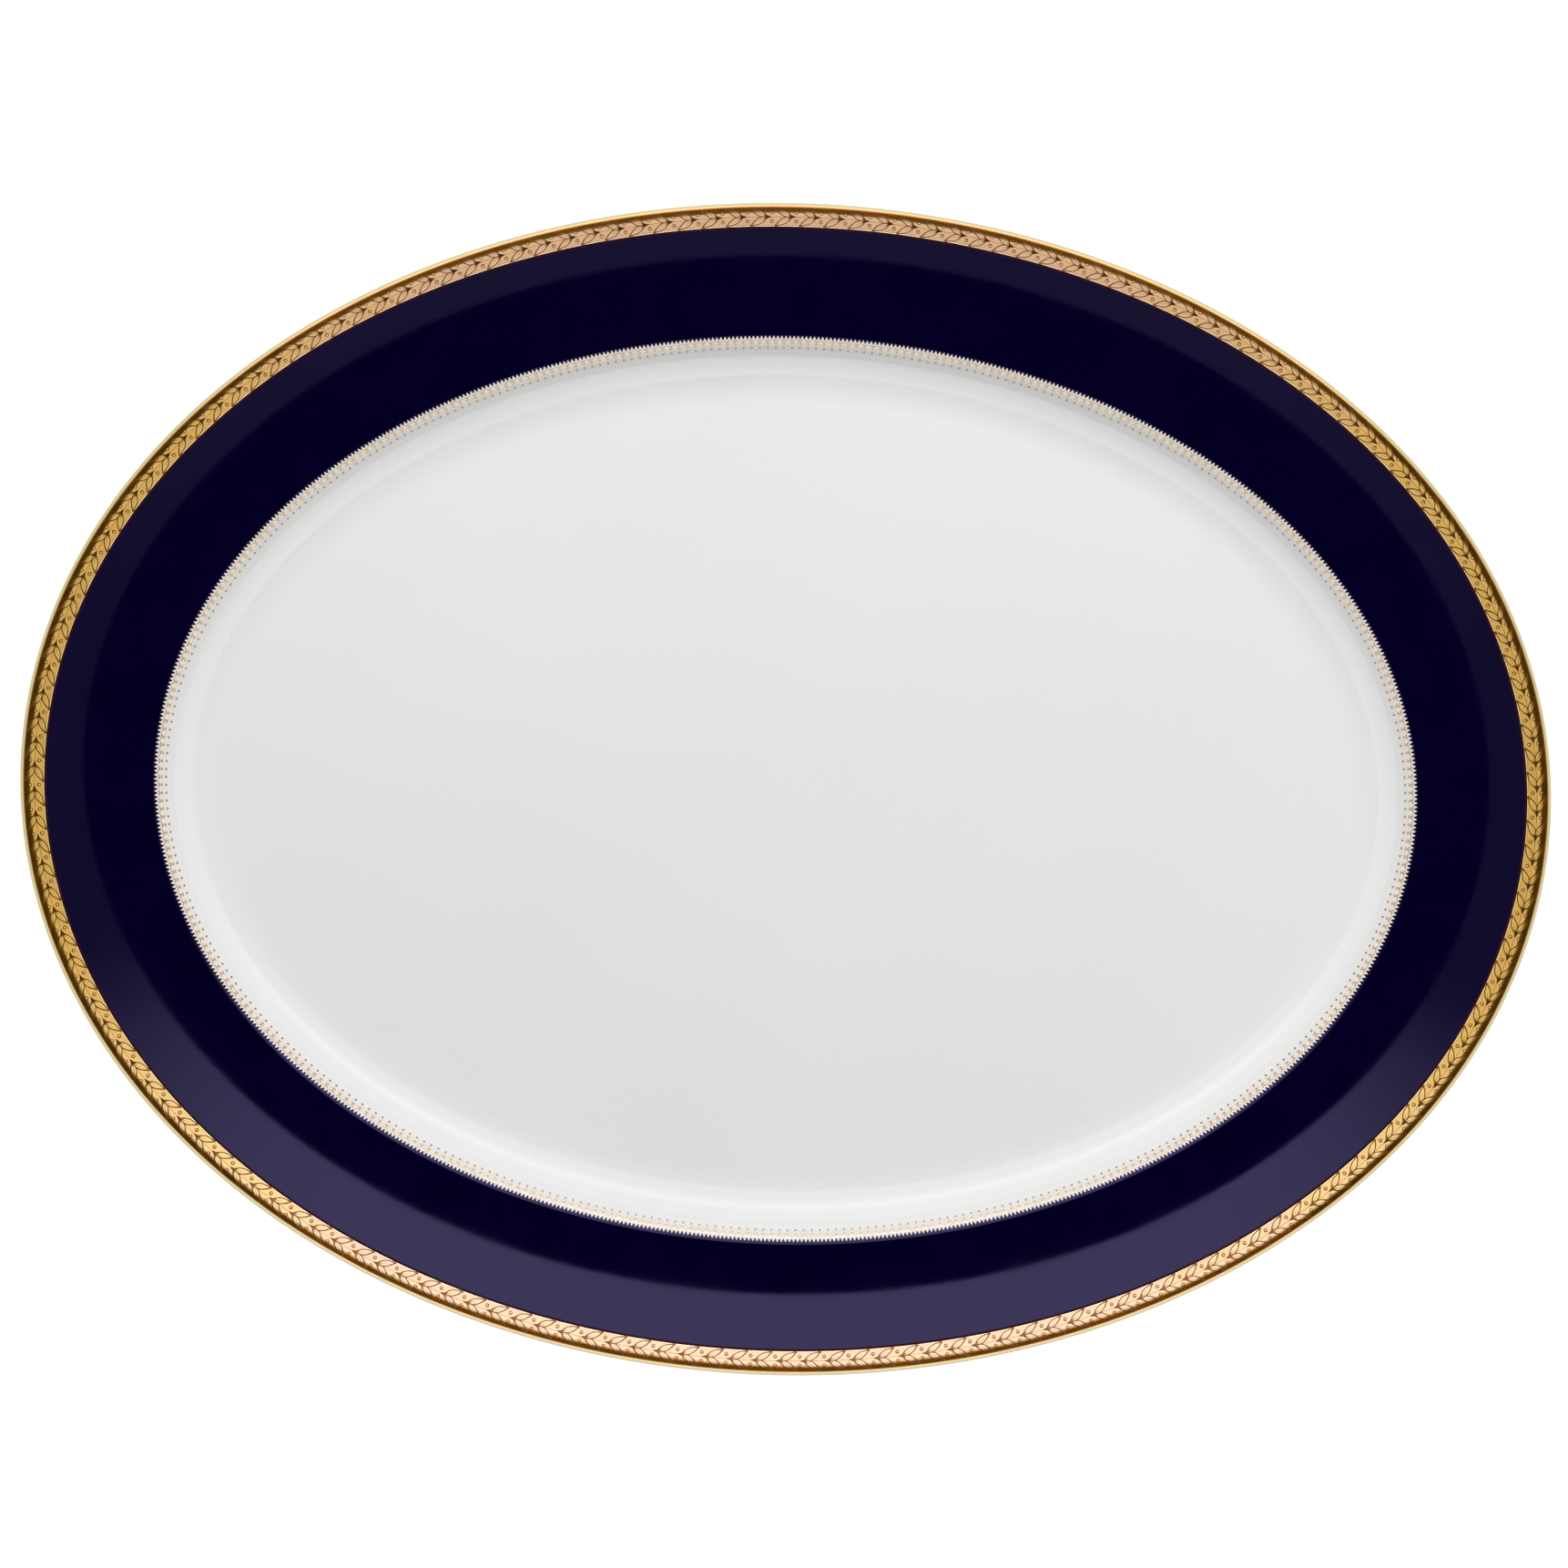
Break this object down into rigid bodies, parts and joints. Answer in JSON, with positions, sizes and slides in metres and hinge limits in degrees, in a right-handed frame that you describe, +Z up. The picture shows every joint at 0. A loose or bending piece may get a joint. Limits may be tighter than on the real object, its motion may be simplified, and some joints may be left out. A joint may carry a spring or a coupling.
{
  "type": "serving platter",
  "caption": "Oval rimmed china serving platter with a flat well, a dark blue band on the rim, gold borders and a low foot ring.",
  "frame": {"origin": "centre of the plane that the foot ring stands on", "axes": "+X along the long axis of the oval, +Y along its short axis, +Z up out of the well"},
  "size_m": [0.4064, 0.3112, 0.0286],
  "materials": {
    "glazed_white_china": "glossy clear glaze over a white body",
    "dry_china": "unglazed, ground smooth",
    "cobalt_glaze": "glossy dark blue glaze",
    "etched_gold": "gold over an etched relief, satin",
    "burnished_gold": "burnished gold, bright",
    "printed_gold": "thin printed gold, satin"
  },
  "bodies": {
    "root": {"china_body": "glazed_white_china", "dry_foot_ring": "dry_china", "cobalt_band": "cobalt_glaze", "laurel_band": "etched_gold", "lip_gilding": "burnished_gold", "verge_edging": "printed_gold", "tassel_border": "printed_gold"}
  },
  "joints": []
}
